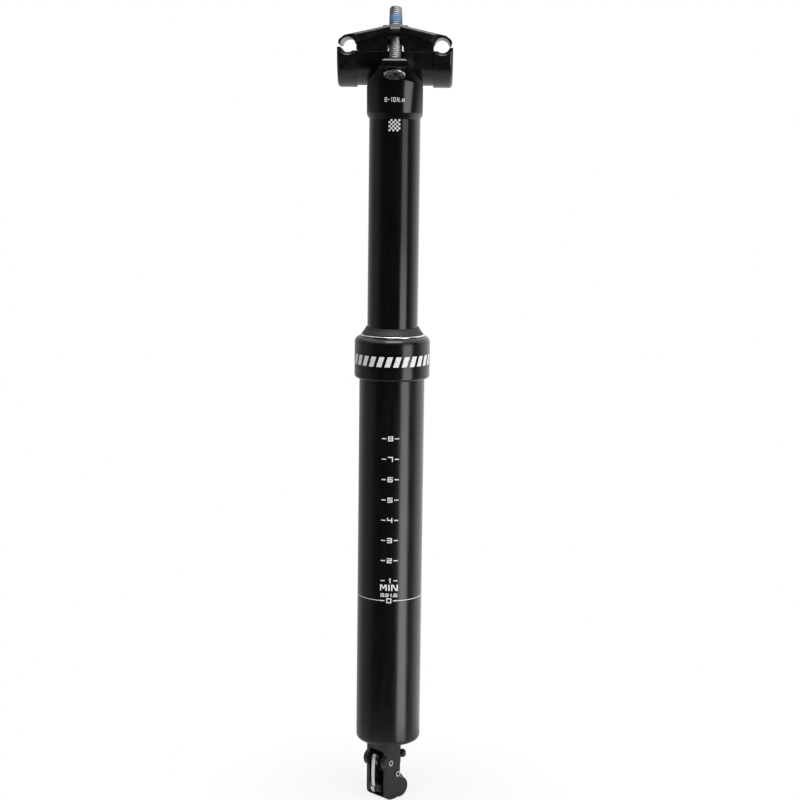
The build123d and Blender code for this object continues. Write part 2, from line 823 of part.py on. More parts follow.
def make_pin(open_side, height):
    """A rolled pin through both cheeks, standing a little proud."""
    long = body_across + pin_stand + pin_stand
    pin = Cylinder(pin_diameter / 2, long) - Cylinder(pin_bore / 2, long + cut_overrun)
    return at_foot(pin_place(open_side, height) * pin)


def make_housing_ferrule():
    """The flanged cup that takes the end of the cable housing."""
    start = lobe_reach - ferrule_depth + seat_gap
    cup = Cylinder(ferrule_radius, ferrule_depth, align=(Align.CENTER, Align.CENTER, Align.MIN))
    flange = Pos(0, 0, ferrule_depth) * Cylinder(
        ferrule_radius + ferrule_flange, ferrule_flange_length, align=(Align.CENTER, Align.CENTER, Align.MIN))
    bore = Pos(0, 0, ferrule_flange_length) * Cylinder(
        ferrule_bore, ferrule_depth * 2, align=(Align.CENTER, Align.CENTER, Align.MIN))
    hole = Cylinder(cable_hole, ferrule_depth)
    return at_foot(Pos(0, start, cable_height) * Rot(-90, 0, 0) * (cup + flange - bore - hole))


def make_fixing_screw():
    """The round-headed screw that holds the body, standing out at its back."""
    head = Cylinder(fixing_radius, fixing_length, align=(Align.CENTER, Align.CENTER, Align.MIN))
    head = fillet(head.edges().group_by(Axis.Z)[-1], fixing_round)
    shank = Pos(0, 0, -hub_wall) * Cylinder(
        fixing_shank_radius, hub_wall * 2, align=(Align.CENTER, Align.CENTER, Align.MIN))
    return Pos(hub_radius + seat_gap, 0, -tube_length - fixing_drop) * Rot(0, 90, 0) * (head + shank)


def make_lever():
    """The polished bell crank: hub on the pivot, long arm outside, nose under the valve pin."""
    top = pivot_height + lever_top
    low = cable_height
    outside = lever_open + lever_width / 2
    inside = lever_open - lever_width / 2
    with BuildSketch(Plane.YZ) as sketch:
        with BuildLine():
            outer = ThreePointArc((-outside, low), (-outside - lever_bow, (low + top) / 2), (-outside, top))
            Line(outer @ 1, (-inside, top))
            inner = ThreePointArc((-inside, top), (-inside - lever_bow, (low + top) / 2), (-inside, low))
            Line(inner @ 1, outer @ 0)
        make_face()
    arm = extrude(sketch.sketch, lever_plate / 2, both=True)
    round_end = Rot(0, 90, 0) * Cylinder(lever_width / 2, lever_plate)
    arm += Pos(0, -lever_open, top) * round_end
    hook = Rot(0, 90, 0) * Cylinder(cable_barrel_radius + cable_barrel_wall, lever_plate)
    arm += Pos(0, -lever_open, low) * hook
    arm = Pos(lever_offset, 0, 0) * arm
    inner_half = body_across / 2 - cheek_wall - lever_hub_gap
    hub_low = lever_offset - lever_plate / 2
    hub_high = nose_width / 2
    hub = Pos((hub_low + hub_high) / 2, -pivot_open, pivot_height) * Rot(0, 90, 0) * Cylinder(
        lever_hub_radius, hub_high - hub_low)
    nose_half = nose_width / 2
    nose_top = pivot_height + nose_radius
    nose = block((-nose_half, -pivot_open, pivot_height - nose_radius), (nose_half, 0, nose_top))
    nose += Pos(0, 0, pivot_height) * Rot(0, 90, 0) * Cylinder(nose_radius, nose_width)
    body = arm + hub + nose
    body -= pin_place(pivot_open, pivot_height) * Cylinder(pin_diameter / 2 + running_gap, inner_half * 4)
    barrel_room = Cylinder(cable_barrel_radius + running_gap, inner_half * 4)
    body -= Pos(0, -lever_open, low) * Rot(0, 90, 0) * barrel_room
    return at_foot(body)


def block_bar(radius, low, high):
    """A bar across the foot at the cable's place, from one end to the other."""
    bar = Cylinder(radius, high - low, align=(Align.CENTER, Align.CENTER, Align.MIN))
    return Pos(low, -lever_open, cable_height) * Rot(0, 90, 0) * bar


def make_cable_barrel():
    """The cross barrel that grips the cable's end in the lever's hook."""
    start = cable_barrel_reach - cable_barrel_length
    barrel = block_bar(cable_barrel_radius, start, cable_barrel_reach)
    cable = Cylinder(cable_hole, cable_barrel_length * 2)
    barrel -= Pos(0, -lever_open, cable_height) * Rot(90, 0, 0) * cable
    screw = Pos(cable_barrel_reach, -lever_open, cable_height) * Rot(0, -90, 0)
    hole = Cylinder(barrel_screw_radius + seat_gap, barrel_screw_length * 2)
    return at_foot(barrel - screw * hole)


def make_barrel_screw():
    """The grub screw along the barrel that clamps the cable."""
    screw = Cylinder(barrel_screw_radius, barrel_screw_length, align=(Align.CENTER, Align.CENTER, Align.MIN))
    socket = extrude(RegularPolygon(barrel_screw_hex / 2, 6, major_radius=False), barrel_screw_bore)
    place = Pos(cable_barrel_reach, -lever_open, cable_height) * Rot(0, -90, 0)
    return at_foot(place * (screw - socket))


def make_return_spring():
    """The torsion spring's close turns round the pivot pin, between the lever and a cheek."""
    radius = pin_diameter / 2 + spring_gap + spring_wire / 2
    pitch = spring_wire + spring_pitch_gap
    start = nose_width / 2 + lever_hub_gap + spring_wire / 2
    path = Helix(pitch=pitch, height=pitch * spring_turns, radius=radius)
    section = Plane(origin=path @ 0, z_dir=path % 0) * Circle(spring_wire / 2)
    coil = sweep(section, path=path, is_frenet=True)
    return at_foot(Pos(start, -pivot_open, pivot_height) * Rot(0, 90, 0) * coil)


front_bolt = make_bolt()
front_washer = make_washer()
front_nut = make_barrel_nut()

pieces = {
    "outer_tube": make_outer_tube(),
    "collar": make_collar(),
    "collar_oring": make_collar_oring(),
    "upper_bushing": make_upper_bushing(),
    "wiper_seal": make_wiper_seal(),
    "wiper_ring": make_wiper_ring(),
    "stanchion": make_stanchion(),
    "lower_bushing": make_lower_bushing(),
    "guide_keys": make_guide_keys(),
    "cradle": make_cradle(),
    "yoke": make_yoke(),
    "front_bolt": front_bolt,
    "rear_bolt": rear_copy(front_bolt),
    "front_washer": front_washer,
    "rear_washer": rear_copy(front_washer),
    "front_barrel_nut": front_nut,
    "rear_barrel_nut": rear_copy(front_nut),
    "cartridge_body": make_cartridge_body(),
    "cartridge_gland": make_cartridge_gland(),
    "rod_seal": make_rod_seal(),
    "cartridge_cap": make_cartridge_cap(),
    "floating_piston": make_floating_piston(),
    "floating_seal": make_floating_seal(),
    "topout_bumper": make_topout_bumper(),
    "cartridge_rod": make_cartridge_rod(),
    "rod_nut": make_rod_nut(),
    "main_piston": make_main_piston(),
    "piston_seal": make_piston_seal(),
    "valve_pin": make_valve_pin(),
    "actuator_body": make_actuator_body(),
    "lever_pivot_pin": make_pin(pivot_open, pivot_height),
    "stop_pin": make_pin(stop_open, stop_height),
    "housing_ferrule": make_housing_ferrule(),
    "fixing_screw": make_fixing_screw(),
    "actuator_lever": make_lever(),
    "cable_barrel": make_cable_barrel(),
    "barrel_screw": make_barrel_screw(),
    "return_spring": make_return_spring(),
}

os.makedirs("parts", exist_ok=True)
for name, piece in pieces.items():
    export_step(piece, f"parts/{name}.step")
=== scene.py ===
import json
from math import cos, pi, radians, sin

import bmesh
import bpy
import numpy as np
from mathutils import Matrix, Vector


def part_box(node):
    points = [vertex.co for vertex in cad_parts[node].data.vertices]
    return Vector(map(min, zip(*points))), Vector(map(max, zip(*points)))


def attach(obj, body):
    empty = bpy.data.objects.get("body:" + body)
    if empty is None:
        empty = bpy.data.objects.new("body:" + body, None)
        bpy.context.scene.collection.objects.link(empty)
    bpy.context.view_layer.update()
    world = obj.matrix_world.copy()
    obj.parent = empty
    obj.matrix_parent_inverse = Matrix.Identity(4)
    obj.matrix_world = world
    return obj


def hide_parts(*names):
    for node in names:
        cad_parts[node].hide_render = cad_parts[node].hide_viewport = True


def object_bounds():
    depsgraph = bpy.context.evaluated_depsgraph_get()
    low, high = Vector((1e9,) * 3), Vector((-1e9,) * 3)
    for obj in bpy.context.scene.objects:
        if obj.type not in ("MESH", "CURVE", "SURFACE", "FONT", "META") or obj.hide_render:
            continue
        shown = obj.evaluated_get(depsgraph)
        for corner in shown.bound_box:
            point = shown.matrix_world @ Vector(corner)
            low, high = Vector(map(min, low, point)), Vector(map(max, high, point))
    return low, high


# A dropper seatpost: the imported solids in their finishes, with the printed scale and marks, and the
# bolts' threads and thread lock added. Metres, in the solids' own frame.

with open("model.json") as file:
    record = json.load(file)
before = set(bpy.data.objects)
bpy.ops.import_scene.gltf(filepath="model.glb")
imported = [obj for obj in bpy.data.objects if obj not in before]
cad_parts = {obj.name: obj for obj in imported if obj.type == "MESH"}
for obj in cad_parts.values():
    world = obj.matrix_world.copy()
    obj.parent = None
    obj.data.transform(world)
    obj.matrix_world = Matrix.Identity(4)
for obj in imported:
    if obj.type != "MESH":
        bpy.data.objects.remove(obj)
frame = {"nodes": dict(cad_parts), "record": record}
cad_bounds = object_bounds()
MM = 0.001

# Camera, fitted to the photograph
camera_azimuth = 1.0
camera_distance = 0.88
camera_height = 0.12579
camera_pitch = 8.85
camera_roll = 0.662
camera_lens = 82.32
camera_slide = 0.01042
camera_sensor = 36
camera_near = 0.01

# Printed scale on the tube
print_lift = 0.01 * MM
print_thickness = 0.01 * MM
line_height = -107.65 * MM
line_width = 0.32 * MM
line_columns = 60
mark_step = 10.0 * MM
mark_count = 9
digit_size = 2.45 * MM
tick_start = 2.1 * MM
tick_end = 4.2 * MM
tick_width = 0.5 * MM
min_rise = 6.5 * MM
min_wide = 0.68 * MM
min_tall = 0.62 * MM
diameter_rise = 2.75 * MM
diameter_wide = 0.36 * MM
diameter_tall = 0.34 * MM

# Each sign's strokes on a grid of five by five: left, right, low, high and how far the top leans
sign_cells = 5
digits = [
    [(0, 1, 0, 5), (4, 5, 0, 5), (1, 4, 0, 1), (1, 4, 4, 5)],
    [(2, 3, 0, 5), (1, 2, 3, 4)],
    [(0, 5, 4, 5), (4, 5, 3, 4), (0, 5, 2, 3), (0, 1, 1, 2), (0, 5, 0, 1)],
    [(4, 5, 0, 5), (0, 4, 4, 5), (0, 4, 2, 3), (0, 4, 0, 1)],
    [(0, 1, 2, 5), (1, 4, 2, 3), (4, 5, 0, 5)],
    [(0, 5, 4, 5), (0, 1, 3, 4), (0, 5, 2, 3), (4, 5, 1, 2), (0, 5, 0, 1)],
    [(0, 1, 0, 5), (1, 5, 4, 5), (1, 5, 2, 3), (4, 5, 1, 2), (1, 5, 0, 1)],
    [(0, 5, 4, 5), (4, 5, 0, 4)],
    [(0, 1, 0, 5), (4, 5, 0, 5), (1, 4, 4, 5), (1, 4, 2, 3), (1, 4, 0, 1)],
]
signs = {str(value): strokes for value, strokes in enumerate(digits)}
signs["M"] = [(0, 1, 0, 5), (4, 5, 0, 5), (2, 3, 1.5, 5, -1.4), (2, 3, 1.5, 5, 1.4)]
signs["I"] = [(0, 1, 0, 5)]
signs["N"] = [(0, 1, 0, 5), (4, 5, 0, 5), (3.2, 4.2, 0, 5, -2.4)]
signs["m"] = [(0, 1, 0, 3.6), (4, 5, 0, 3.6), (2, 3, 0, 3), (1, 4, 3, 3.6)]
signs["."] = [(0, 1, 0, 1)]
signs["-"] = [(0, 2.5, 2, 3)]
signs["\u00d8"] = [*digits[0], (1.1, 1.9, 1, 4, 2)]

# Bars round the collar: heights, then angles in degrees
bar_low = 7.2 * MM
bar_high = 12.1 * MM
bar_step = 13.0
bar_width = 8.0
bar_slant = 5.0
bar_count = 12

# The torque on the seat head, where it is a cone, and the check pattern on the stanchion below it
torque_height = 133.0 * MM
torque_radius = 14.93 * MM
torque_taper = 0.137
torque_wide = 0.24 * MM
torque_tall = 0.42 * MM
torque_gap = 2.2
check_low = 118.35 * MM
check_cell = 0.93 * MM
check_cells = 6
check_columns = 4
stanchion_radius = 12.2 * MM

# Bolts, measured along each from the middle of its head's outer face. The shank starts inside the head,
# and the solid's own head is cut off a little under it.
shank_start = 3.6 * MM
head_cut = 4.08 * MM
weld_gap = 0.001 * MM
# How far out from each bolt's axis its head is painted dark as painted shade in the socket
socket_shade_reach = 2.8 * MM
bolt_face_rise = 6.1 * MM
bolt_end = 34.98 * MM
thread_crest = 2.95 * MM
thread_root = 2.62 * MM
thread_pitch = 1.0 * MM
thread_sides = 28
thread_rings = 9
tip_share = 0.55
tip_length = 1.0 * MM
patch_start = 26.2 * MM
patch_end = 30.0 * MM
patch_swell = 0.06 * MM

# Patterns in the finishes: the mottling is coarser than the grain by a ratio, and the middle of the noise
# is spread over the whole range
noise_detail = 3.0
mottle_ratio = 6
noise_low = 0.3
noise_high = 0.7

# How far across the foot the lever's bright arm reaches, along x minus y, and the painted shade on the hub
# beyond it
hub_shade_start = 0.85 * MM
hub_shade_grey = 0.05
hub_shade_rough = 0.4

# The room: azimuth in degrees from the camera's side and the grey that gloss mirrors there, then each
# lamp's name, azimuth, height, distance, width, height of its panel and radiance
mirror_strength = 1.3
soft_strength = 0.4
room_ramp = [
    (-180, 0.45), (-128, 0.42), (-104, 0.24), (-76, 0.2), (-58, 0.05), (-40, 0.015), (20, 0.01), (30, 0.03),
    (76, 0.06), (86, 0.2), (94, 0.42), (104, 0.8), (118, 1.0), (150, 1.0), (180, 0.6),
]
softboxes = [
    ("strip_low", 49, -0.34, 0.75, 0.42, 0.5, 4.2),
    ("strip_middle", 49, -0.045, 0.75, 0.4, 0.09, 3.2),
    ("strip_high", 49, 0.2, 0.75, 0.34, 0.4, 1.7),
    ("overhead", 10, 1.0, 0.25, 0.6, 0.6, 7.0),
]

# The upward part of a ray's direction where the mirrored ceiling starts and where it is full, and how
# white it gets
ceiling_start = 0.45
ceiling_full = 0.8
ceiling_share = 0.9

# The floor, and the shares of its radius between which it fades into white, from a least share of white
floor_radius = 0.11
floor_sides = 64
floor_grey = 0.8
floor_rough = 0.9
fade_start = 0.25
fade_end = 0.9
fade_least = 0.85


def joint_of(name):
    """The record's joint of that name, with its place and axis as vectors."""
    found = [joint for joint in frame["record"]["behaviour"]["joints"] if joint["name"] == name][0]
    return Vector(found["pos_m"]), Vector(found["axis"])


def new_piece(name, points, faces, body):
    """A mesh piece from arrays of points and quads, riding on a body."""
    mesh = bpy.data.meshes.new(name)
    mesh.from_pydata(points.tolist(), [], faces.tolist())
    mesh.update()
    piece = bpy.data.objects.new(name, mesh)
    bpy.context.scene.collection.objects.link(piece)
    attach(piece, body)
    return piece


def grid_faces(rows, columns, closed=False):
    """Quads of a grid of points stored row by row, joined round where it is closed."""
    across = columns if closed else columns - 1
    row = np.arange(rows - 1)[:, None]
    column = np.arange(across)[None, :]
    after = (column + 1) % columns
    first = row * columns
    second = (row + 1) * columns
    corners = [first + column, first + after, second + after, second + column]
    return np.stack([corner.ravel() for corner in corners], axis=1)


def on_tube(across, up, radius):
    """Points laid on an upright cylinder's front: the angle is the distance across over the radius."""
    angle = across / radius
    return np.stack([radius * np.sin(angle), -radius * np.cos(angle), up], axis=-1)


def patches(corners, radius, taper=0.0, middle=0.0, columns=12):
    """Printed patches on a cylinder, or on a cone that widens by the taper above its middle: each is a
    grid between its left and right sloping sides."""
    points = []
    faces = []
    for left, right, low, high, slant in corners:
        share = np.linspace(0, 1, columns)
        rows = []
        for up, lean in ((low, 0), (high, slant)):
            across = left + (right - left) * share + lean
            rows.append(on_tube(across, np.full(columns, up), radius + taper * (up - middle)))
        faces.append(grid_faces(2, columns) + 2 * columns * len(points))
        points.append(np.concatenate(rows))
    return np.concatenate(points), np.concatenate(faces)


def word_patches(word, height, wide, tall, gap=1.0):
    """The strokes of a word centred on the front, each sign on its own grid of wide by tall cells."""
    widths = [max(stroke[1] for stroke in signs[sign]) for sign in word]
    left = -(sum(widths) + gap * (len(word) - 1)) / 2
    found = []
    for sign, width in zip(word, widths):
        for start, end, low, high, *lean in signs[sign]:
            rows = [height + (edge - sign_cells / 2) * tall for edge in (low, high)]
            found.append(((left + start) * wide, (left + end) * wide, *rows, sum(lean) * wide))
        left += width + gap
    return found


def printed(piece):
    """Gives a printed piece its ink and a thin body."""
    piece.data.materials.append(ink)
    skin = piece.modifiers.new("ink", "SOLIDIFY")
    skin.thickness = print_thickness
    skin.offset = 1


def math_node(tree, operation, first, second=None):
    """One sum on a value, with another value or a fixed number."""
    node = tree.nodes.new("ShaderNodeMath")
    node.operation = operation
    tree.links.new(first, node.inputs[0])
    if isinstance(second, float):
        node.inputs[1].default_value = second
    elif second:
        tree.links.new(second, node.inputs[1])
    return node.outputs[0]


def shader(name):
    """A new node material, its tree and its main shader."""
    made = bpy.data.materials.new(name)
    made.use_nodes = True
    return made, made.node_tree, made.node_tree.nodes["Principled BSDF"]


def noise_of(tree, scale, stretch):
    """A noise pattern on the piece's own coordinates, stretched along any axis."""
    place = tree.nodes.new("ShaderNodeTexCoord")
    turn = tree.nodes.new("ShaderNodeMapping")
    turn.inputs["Scale"].default_value = stretch
    noise = tree.nodes.new("ShaderNodeTexNoise")
    noise.inputs["Scale"].default_value = scale
    noise.inputs["Detail"].default_value = noise_detail
    tree.links.new(place.outputs["Object"], turn.inputs["Vector"])
    tree.links.new(turn.outputs["Vector"], noise.inputs["Vector"])
    return noise.outputs["Fac"]


def between(tree, value, low, high):
    """Spreads the middle of a noise pattern over a range."""
    span = tree.nodes.new("ShaderNodeMapRange")
    span.inputs["From Min"].default_value = noise_low
    span.inputs["From Max"].default_value = noise_high
    span.inputs["To Min"].default_value = low
    span.inputs["To Max"].default_value = high
    tree.links.new(value, span.inputs["Value"])
    return span.outputs["Result"]


def bumped(tree, main, value, depth):
    """Raises the surface by a pattern, to a depth in metres."""
    bump = tree.nodes.new("ShaderNodeBump")
    bump.inputs["Distance"].default_value = depth
    tree.links.new(value, bump.inputs["Height"])
    tree.links.new(bump.outputs["Normal"], main.inputs["Normal"])


def toned(tree, main, value, dark, light):
    """Varies the colour between two tones by a pattern."""
    mix = tree.nodes.new("ShaderNodeMix")
    mix.data_type = "RGBA"
    mix.inputs["A"].default_value = (*dark, 1)
    mix.inputs["B"].default_value = (*light, 1)
    tree.links.new(value, mix.inputs["Factor"])
    tree.links.new(mix.outputs["Result"], main.inputs["Base Color"])


def finish_of(name, dark, light, rough, grain, depth, metal=0.0, stretch=(1, 1, 1)):
    """A finish with a mottled colour, a gloss that varies within a range, and a fine raised grain."""
    made, tree, main = shader(name)
    main.inputs["Metallic"].default_value = metal
    coarse = noise_of(tree, grain / mottle_ratio, stretch)
    fine = noise_of(tree, grain, stretch)
    toned(tree, main, between(tree, coarse, 0, 1), dark, light)
    tree.links.new(between(tree, coarse, *rough), main.inputs["Roughness"])
    bumped(tree, main, fine, depth)
    return made


# The finishes: darker and lighter tone, range of roughness, grain per metre, depth of the grain
anodised = finish_of("satin_black_anodised", (0.0035, 0.0035, 0.0037), (0.006, 0.006, 0.0063), (0.2, 0.26),
                     2500, 0.004 * MM, stretch=(1, 1, 0.15))
polished = finish_of("polished_black_anodised", (0.003, 0.003, 0.0032), (0.005, 0.005, 0.0053), (0.14, 0.19),
                     2200, 0.002 * MM, stretch=(1, 1, 0.1))
collar_coat = finish_of("collar_black_anodised", (0.0035, 0.0035, 0.0035), (0.006, 0.006, 0.006),
                        (0.16, 0.22), 2600, 0.003 * MM)
forged = finish_of("forged_black_anodised", (0.003, 0.003, 0.003), (0.007, 0.007, 0.007), (0.22, 0.32),
                   1400, 0.012 * MM)
foot_coat = finish_of("foot_black_anodised", (0.006, 0.006, 0.006), (0.012, 0.012, 0.012), (0.3, 0.4),
                      1800, 0.01 * MM)
rubber = finish_of("seal_rubber", (0.006, 0.006, 0.006), (0.014, 0.014, 0.014), (0.5, 0.65),
                   3000, 0.01 * MM)
bush = finish_of("bush_plastic", (0.04, 0.04, 0.045), (0.07, 0.07, 0.08), (0.4, 0.55),
                 2000, 0.006 * MM)
plated = finish_of("plated_steel", (0.42, 0.42, 0.43), (0.6, 0.6, 0.61), (0.2, 0.35),
                   2500, 0.004 * MM, metal=1.0)
ring_wire = finish_of("bright_ring_steel", (0.7, 0.7, 0.71), (0.85, 0.85, 0.86), (0.12, 0.2),
                      3000, 0.002 * MM, metal=1.0)
rough_steel = finish_of("threaded_steel", (0.3, 0.3, 0.31), (0.45, 0.45, 0.46), (0.38, 0.5),
                        2500, 0.004 * MM, metal=1.0)
# Dark steel for the dark parts, also used as painted shade in the bolts' sockets
black_oxide_and_socket_shade = finish_of("black_oxide_steel_and_socket_shade", (0.02, 0.02, 0.02), (0.05, 0.05, 0.05), (0.3, 0.42),
                        2500, 0.003 * MM)
# The lever's polished steel; past its bright arm it is darkened further down to a painted shade
lever_steel_and_hub_shade = finish_of("polished_lever_steel_and_hub_shade", (0.7, 0.7, 0.7), (0.88, 0.88, 0.88), (0.15, 0.28),
                        2500, 0.003 * MM, metal=1.0, stretch=(1, 1, 0.2))
chromed = finish_of("hard_chrome", (0.6, 0.6, 0.62), (0.75, 0.75, 0.77), (0.08, 0.14),
                    2500, 0.001 * MM, metal=1.0)
turned_metal = finish_of("turned_aluminium", (0.5, 0.5, 0.52), (0.7, 0.7, 0.72), (0.25, 0.4),
                         2500, 0.004 * MM, metal=1.0, stretch=(0.1, 0.1, 1))
brass = finish_of("drawn_brass", (0.55, 0.4, 0.16), (0.75, 0.58, 0.28), (0.2, 0.35),
                  2200, 0.004 * MM, metal=1.0, stretch=(1, 1, 0.1))
ink = finish_of("white_print", (0.8, 0.8, 0.8), (0.92, 0.92, 0.92), (0.45, 0.6), 3500, 0.003 * MM)
thread_lock = finish_of("blue_thread_lock", (0.08, 0.2, 0.36), (0.16, 0.32, 0.52), (0.4, 0.55),
                        2200, 0.02 * MM)


def shade_hub(made):
    """Paints shade on the lever's hub and nose, which lie on the far side of its bright arm: there the
    polished steel is mixed to a dark grey.
    """
    tree = made.node_tree
    dark = tree.nodes.new("ShaderNodeBsdfPrincipled")
    dark.inputs["Base Color"].default_value = (hub_shade_grey, hub_shade_grey, hub_shade_grey, 1)
    dark.inputs["Metallic"].default_value = 1.0
    dark.inputs["Roughness"].default_value = hub_shade_rough
    place = tree.nodes.new("ShaderNodeTexCoord")
    split = tree.nodes.new("ShaderNodeSeparateXYZ")
    tree.links.new(place.outputs["Object"], split.inputs[0])
    beside = math_node(tree, "SUBTRACT", split.outputs["X"], split.outputs["Y"])
    # Past the bright arm the lever gets painted shade, a dark grey mixed over the polished steel
    far = math_node(tree, "GREATER_THAN", beside, hub_shade_start)
    mix = tree.nodes.new("ShaderNodeMixShader")
    tree.links.new(far, mix.inputs[0])
    tree.links.new(tree.nodes["Principled BSDF"].outputs[0], mix.inputs[1])
    tree.links.new(dark.outputs[0], mix.inputs[2])
    tree.links.new(mix.outputs[0], tree.nodes["Material Output"].inputs["Surface"])


shade_hub(lever_steel_and_hub_shade)
slot_finish = {
    "tube_black": anodised, "collar_black": collar_coat, "stanchion_black": polished, "clamp_black": forged,
    "foot_black": foot_coat, "seal_rubber": rubber, "bush_plastic": bush, "ring_steel": ring_wire,
    "bolt_steel": plated, "dark_steel": black_oxide_and_socket_shade, "rod_chrome": chromed, "lever_polished": lever_steel_and_hub_shade,
    "key_brass": brass, "bare_aluminium": turned_metal,
}
for part in frame["record"]["subparts"]:
    solid = frame["nodes"][part["node"]]
    for place in solid.material_slots:
        place.material = slot_finish[part["material_slot"]]

tube_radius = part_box("outer_tube")[1][0]
collar_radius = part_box("collar")[1][0]


def print_scale():
    """The insertion scale: a numeral between two ticks at each centimetre, and the lowest line all round."""
    marks = []
    for index in range(mark_count):
        height = line_height + index * mark_step
        marks += word_patches(str(index), height, digit_size / sign_cells, digit_size / sign_cells)
        low = height - tick_width / 2
        marks.append((tick_start, tick_end, low, low + tick_width, 0))
        marks.append((-tick_end, -tick_start, low, low + tick_width, 0))
    radius = tube_radius + print_lift
    printed(new_piece("insertion_scale", *patches(marks, radius), "outer"))
    low = line_height - line_width / 2
    half = pi * radius
    sides = [(-half, -tick_end, low, low + line_width, 0), (tick_end, half, low, low + line_width, 0)]
    printed(new_piece("insertion_line", *patches(sides, radius, columns=line_columns), "outer"))
    words = word_patches("MIN", line_height + min_rise, min_wide, min_tall)
    words += word_patches("\u00d831.6", line_height + diameter_rise, diameter_wide, diameter_tall)
    printed(new_piece("limit_marks", *patches(words, radius), "outer"))


def print_head():
    """The clamp bolts' torque on the front of the seat head, and a plain check pattern below it."""
    words = word_patches("8-10N.m", torque_height, torque_wide, torque_tall, torque_gap)
    wrapped = patches(words, torque_radius + print_lift, torque_taper, torque_height)
    printed(new_piece("torque_mark", *wrapped, "post"))
    squares = []
    half = check_cells / 2
    for row in range(check_cells):
        for column in range(row % 2, check_cells, 2):
            left = (column - half) * check_cell
            low = check_low + row * check_cell
            squares.append((left, left + check_cell, low, low + check_cell, 0))
    wrapped = patches(squares, stanchion_radius + print_lift, columns=check_columns)
    printed(new_piece("check_pattern", *wrapped, "post"))


def print_collar():
    """Plain slanted bars round the front of the collar's band."""
    radius = collar_radius + print_lift
    bars = []
    for index in range(bar_count):
        middle = radians((index - (bar_count - 1) / 2) * bar_step) * radius
        half = radians(bar_width) * radius / 2
        bars.append((middle - half, middle + half, bar_low, bar_high, radians(bar_slant) * radius))
    printed(new_piece("collar_bars", *patches(bars, radius), "outer"))


def threaded_shank(name, start, end, swell, body, finish, place):
    """A threaded rod: the radius swings from root to crest once per pitch, shifted by the angle round. Over
    the bolt's tip it shrinks along a quarter of an ellipse, to a share of itself at the very end."""
    around = np.linspace(0, 2 * pi, thread_sides, endpoint=False)[None, :]
    along = np.linspace(start, end, int((end - start) / thread_pitch * thread_rings))[:, None]
    phase = along / thread_pitch - around / (2 * pi)
    wave = 0.5 + 0.5 * np.cos(2 * pi * phase)
    radius = thread_root + (thread_crest - thread_root) * wave + swell
    tip = np.clip((bolt_end - along) / tip_length, 0, 1)
    radius = radius * (tip_share + (1 - tip_share) * np.sqrt(1 - (1 - tip) ** 2))
    along = along + 0 * around
    points = np.stack([radius * np.cos(around), radius * np.sin(around), along], axis=-1).reshape(-1, 3)
    faces = grid_faces(along.shape[0], around.shape[1], closed=True)
    piece = new_piece(name, points, faces, body)
    piece.data.transform(place)
    work = bmesh.new()
    work.from_mesh(piece.data)
    bmesh.ops.holes_fill(work, edges=work.edges)
    bmesh.ops.recalc_face_normals(work, faces=work.faces)
    for face in work.faces:
        face.smooth = True
    work.to_mesh(piece.data)
    work.free()
    piece.data.materials.append(finish)
    return piece


def bolt_place(end):
    """The matrix that lays a bolt along its own axis, from the middle of its head's outer face."""
    pivot, axis = joint_of(f"{end}_bolt_turn")
    turn = axis.to_track_quat("Z", "X").to_matrix().to_4x4()
    return Matrix.Translation(pivot + axis * bolt_face_rise) @ turn


def make_bolt(end):
    """One clamp bolt: the solid's own head with painted shade in its socket, and a threaded shank with a
    patch of thread lock.
    """
    body = f"{end}_bolt"
    place = bolt_place(end)
    shank = threaded_shank(f"{end}_bolt_shank", shank_start, bolt_end, 0, body, rough_steel, place)
    head = frame["nodes"][body].data.copy()
    work = bmesh.new()
    work.from_mesh(head)
    bmesh.ops.remove_doubles(work, verts=work.verts, dist=weld_gap)
    cut = place @ Vector((0, 0, head_cut))
    axis = place.to_3x3() @ Vector((0, 0, 1))
    parts = work.verts[:] + work.edges[:] + work.faces[:]
    bmesh.ops.bisect_plane(work, geom=parts, plane_co=cut, plane_no=axis, clear_outer=True)
    bmesh.ops.holes_fill(work, edges=work.edges)
    # Faces near the axis take the dark steel: painted shade in the socket's hollow
    for face in work.faces:
        beside = face.calc_center_median() - cut
        beside -= axis * beside.dot(axis)
        face.material_index = int(beside.length < socket_shade_reach)
    work.to_mesh(head)
    work.free()
    cap = bpy.data.objects.new(f"{end}_bolt_head", head)
    bpy.context.scene.collection.objects.link(cap)
    head.materials.clear()
    head.materials.append(plated)
    head.materials.append(black_oxide_and_socket_shade)
    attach(cap, body)
    threaded_shank(f"{end}_bolt_patch", patch_start, patch_end, patch_swell, body, thread_lock, place)
    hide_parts(f"{end}_bolt")


def aim_camera():
    """The camera on its circle round the post, pitched down and rolled, as fitted."""
    azimuth = radians(camera_azimuth)
    pitch = radians(camera_pitch)
    roll = radians(camera_roll)
    forward = Vector((-sin(azimuth) * cos(pitch), cos(azimuth) * cos(pitch), -sin(pitch)))
    level = Vector((cos(azimuth), sin(azimuth), 0))
    above = level.cross(forward)
    right = level * cos(roll) + above * sin(roll)
    up = above * cos(roll) - level * sin(roll)
    lens = bpy.data.cameras.new("camera")
    lens.lens = camera_lens
    lens.sensor_width = camera_sensor
    lens.shift_x = camera_slide
    lens.clip_start = camera_near
    camera = bpy.data.objects.new("camera", lens)
    turn = Matrix((right, up, -forward)).transposed().to_4x4()
    spot = Vector((camera_distance * sin(azimuth), -camera_distance * cos(azimuth), camera_height))
    camera.matrix_world = Matrix.Translation(spot) @ turn
    bpy.context.scene.collection.objects.link(camera)
    bpy.context.scene.camera = camera


